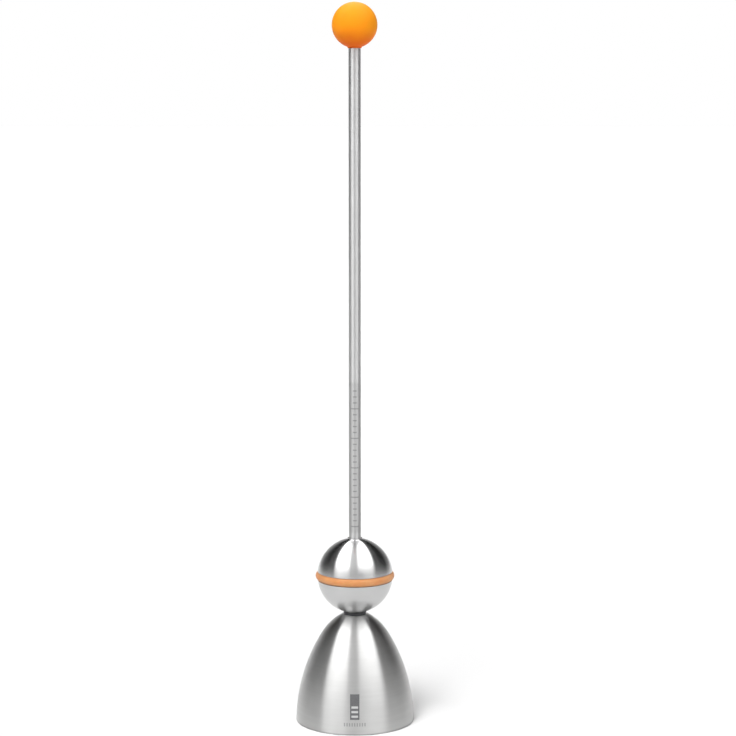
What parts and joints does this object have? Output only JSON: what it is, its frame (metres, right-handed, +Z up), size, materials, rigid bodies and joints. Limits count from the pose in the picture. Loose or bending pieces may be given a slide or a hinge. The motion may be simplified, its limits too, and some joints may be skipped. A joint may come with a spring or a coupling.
{
  "type": "egg topper",
  "caption": "Drop-weight egg topper: a ringed steel ball slides on a thin rod between a round knob and a bell-shaped steel cup, and its blow cracks an egg's shell round the rim.",
  "frame": {"origin": "centre of the bell's mouth, on the plane the rim stands on", "axes": "+Z up along the rod, from the bell towards the knob; the part is round about Z, apart from the nut's hexagon, the washer's split and the insert's flutes"},
  "size_m": [0.04, 0.04, 0.2412],
  "materials": {
    "bell_steel": "brushed round the bell",
    "collar_steel": "blackened, satin",
    "fastener_steel": "plain turned steel",
    "rod_steel": "fine ground, satin",
    "ball_steel": "fine brushed, near mirror",
    "ring_silicone": "matte silicone",
    "insert_brass": "turned and knurled",
    "knob_plastic": "satin moulded plastic"
  },
  "bodies": {
    "stand": {"bell": "bell_steel", "strike_collar": "collar_steel", "lock_washer": "fastener_steel", "cap_nut": "fastener_steel", "rod": "rod_steel", "knob_insert": "insert_brass", "knob": "knob_plastic"},
    "weight": {"weight_ball": "ball_steel", "grip_ring": "ring_silicone"}
  },
  "joints": [
    {"name": "weight_slide", "type": "slide", "parent": "stand", "child": "weight", "axis": [0, 0, 1], "range_m": [0, 0.163]}
  ]
}
